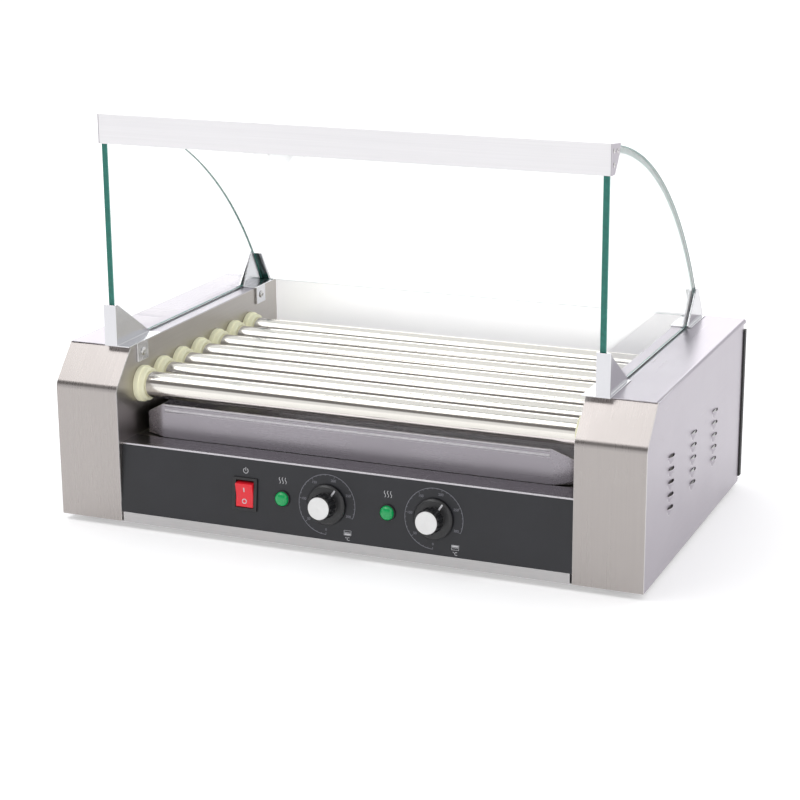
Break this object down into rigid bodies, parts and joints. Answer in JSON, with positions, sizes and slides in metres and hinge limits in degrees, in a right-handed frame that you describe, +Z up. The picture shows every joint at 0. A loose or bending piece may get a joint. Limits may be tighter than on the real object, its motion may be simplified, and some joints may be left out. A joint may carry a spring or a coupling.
{
  "type": "hot dog roller grill",
  "caption": "Countertop roller grill with driven heated rollers between two end housings, drip tray, control panel and curved glass hood.",
  "frame": {"origin": "centre of the bounding box at the level of the feet", "axes": "+X to the operator's right, along the rollers; +Y to the back; +Z up"},
  "size_m": [0.5856, 0.3756, 0.391],
  "materials": {
    "brushed_steel": "satin stainless sheet, fine straight brush",
    "inner_steel": "satin stainless sheet",
    "black_rubber": "moulded black rubber",
    "black_facing": "fine grained black facing with pale print",
    "tray_steel": "satin stainless sheet, used",
    "seal_plastic": "ivory fluoropolymer",
    "heater_sheath": "oxidised steel sheath",
    "zinc_steel": "zinc plated steel",
    "roller_steel": "polished stainless tube",
    "sprocket_steel": "oiled steel",
    "bright_steel": "bright stainless fasteners",
    "knob_black": "moulded phenolic",
    "knob_white": "white moulded cap",
    "switch_black": "black nylon",
    "rocker_red": "translucent red rocker",
    "lamp_green": "green lamp lens",
    "terminal_plastic": "ceramic coloured block",
    "gland_plastic": "black nylon gland",
    "glass": "clear toughened glass, green at its edges",
    "satin_chrome": "satin plated clamp"
  },
  "bodies": {
    "cabinet": {"base_pan": "brushed_steel", "left_bearing_plate": "inner_steel", "right_bearing_plate": "inner_steel", "left_end_cover": "brushed_steel", "right_end_cover": "brushed_steel", "left_front_cover": "brushed_steel", "right_front_cover": "brushed_steel", "rear_cover": "brushed_steel", "rear_edge_strips": "black_rubber", "control_panel": "brushed_steel", "panel_fascia": "black_facing", "tray_shelf": "inner_steel", "roller_bushes": "seal_plastic", "heating_elements": "heater_sheath", "element_holders": "zinc_steel", "drive_chain": "sprocket_steel", "gear_motor": "zinc_steel", "idler_bracket": "zinc_steel", "front_zone_thermostat": "zinc_steel", "back_zone_thermostat": "zinc_steel", "power_switch": "switch_black", "pilot_lamps": "lamp_green", "terminal_block": "terminal_plastic", "cable_gland": "gland_plastic", "rubber_feet": "black_rubber", "left_glass": "glass", "right_glass": "glass", "curved_glass": "glass", "top_bar": "brushed_steel", "bar_end_plates": "inner_steel", "front_left_bracket": "satin_chrome", "front_right_bracket": "satin_chrome", "rear_left_bracket": "satin_chrome", "rear_right_bracket": "satin_chrome", "hood_screws": "bright_steel", "cover_screws": "bright_steel"},
    "roller_1": {"roller_1": "roller_steel", "sprocket_1": "sprocket_steel"},
    "roller_2": {"roller_2": "roller_steel", "sprocket_2": "sprocket_steel"},
    "roller_3": {"roller_3": "roller_steel", "sprocket_3": "sprocket_steel"},
    "roller_4": {"roller_4": "roller_steel", "sprocket_4": "sprocket_steel"},
    "roller_5": {"roller_5": "roller_steel", "sprocket_5": "sprocket_steel"},
    "roller_6": {"roller_6": "roller_steel", "sprocket_6": "sprocket_steel"},
    "roller_7": {"roller_7": "roller_steel", "sprocket_7": "sprocket_steel"},
    "motor_sprocket": {"motor_sprocket": "sprocket_steel"},
    "idler_sprocket": {"idler_sprocket": "sprocket_steel"},
    "front_zone_knob": {"front_zone_spindle": "bright_steel", "front_zone_knob": "knob_black", "front_zone_knob_cap": "knob_white"},
    "back_zone_knob": {"back_zone_spindle": "bright_steel", "back_zone_knob": "knob_black", "back_zone_knob_cap": "knob_white"},
    "power_rocker": {"power_rocker": "rocker_red"},
    "drip_tray": {"drip_tray": "tray_steel"}
  },
  "joints": [
    {"name": "roller_1_spin", "type": "hinge", "parent": "cabinet", "child": "roller_1", "pos_m": [0, -0.12315, 0.1305], "axis": [1, 0, 0], "continuous": true},
    {"name": "roller_2_spin", "type": "hinge", "parent": "cabinet", "child": "roller_2", "pos_m": [0, -0.08505, 0.1305], "axis": [1, 0, 0], "continuous": true},
    {"name": "roller_3_spin", "type": "hinge", "parent": "cabinet", "child": "roller_3", "pos_m": [0, -0.04695, 0.1305], "axis": [1, 0, 0], "continuous": true},
    {"name": "roller_4_spin", "type": "hinge", "parent": "cabinet", "child": "roller_4", "pos_m": [0, -0.00885, 0.1305], "axis": [1, 0, 0], "continuous": true},
    {"name": "roller_5_spin", "type": "hinge", "parent": "cabinet", "child": "roller_5", "pos_m": [0, 0.02925, 0.1305], "axis": [1, 0, 0], "continuous": true},
    {"name": "roller_6_spin", "type": "hinge", "parent": "cabinet", "child": "roller_6", "pos_m": [0, 0.06735, 0.1305], "axis": [1, 0, 0], "continuous": true},
    {"name": "roller_7_spin", "type": "hinge", "parent": "cabinet", "child": "roller_7", "pos_m": [0, 0.10545, 0.1305], "axis": [1, 0, 0], "continuous": true},
    {"name": "motor_sprocket_spin", "type": "hinge", "parent": "cabinet", "child": "motor_sprocket", "pos_m": [0.2375, -0.05838, 0.046], "axis": [1, 0, 0], "continuous": true},
    {"name": "idler_sprocket_spin", "type": "hinge", "parent": "cabinet", "child": "idler_sprocket", "pos_m": [0.2375, 0.04449, 0.062], "axis": [1, 0, 0], "continuous": true},
    {"name": "front_zone_knob_turn", "type": "hinge", "parent": "cabinet", "child": "front_zone_knob", "pos_m": [-0.011, -0.1677, 0.04882], "axis": [0, -0.9945, 0.1045], "range_deg": [-77, 213]},
    {"name": "back_zone_knob_turn", "type": "hinge", "parent": "cabinet", "child": "back_zone_knob", "pos_m": [0.094, -0.1677, 0.04882], "axis": [0, -0.9945, 0.1045], "range_deg": [-77, 213]},
    {"name": "power_rocker_tilt", "type": "hinge", "parent": "cabinet", "child": "power_rocker", "pos_m": [-0.094, -0.16173, 0.04819], "axis": [-1, 0, 0], "range_deg": [0, 16]},
    {"name": "drip_tray_slide", "type": "slide", "parent": "cabinet", "child": "drip_tray", "axis": [0, -1, 0], "range_m": [0, 0.3]}
  ],
  "couplings": [
    {"joint": "roller_2_spin", "follows": "roller_1_spin", "ratio": 1},
    {"joint": "roller_3_spin", "follows": "roller_1_spin", "ratio": 1},
    {"joint": "roller_4_spin", "follows": "roller_1_spin", "ratio": 1},
    {"joint": "roller_5_spin", "follows": "roller_1_spin", "ratio": 1},
    {"joint": "roller_6_spin", "follows": "roller_1_spin", "ratio": 1},
    {"joint": "roller_7_spin", "follows": "roller_1_spin", "ratio": 1},
    {"joint": "motor_sprocket_spin", "follows": "roller_1_spin", "ratio": 1.4167},
    {"joint": "idler_sprocket_spin", "follows": "roller_1_spin", "ratio": 1.4167}
  ]
}
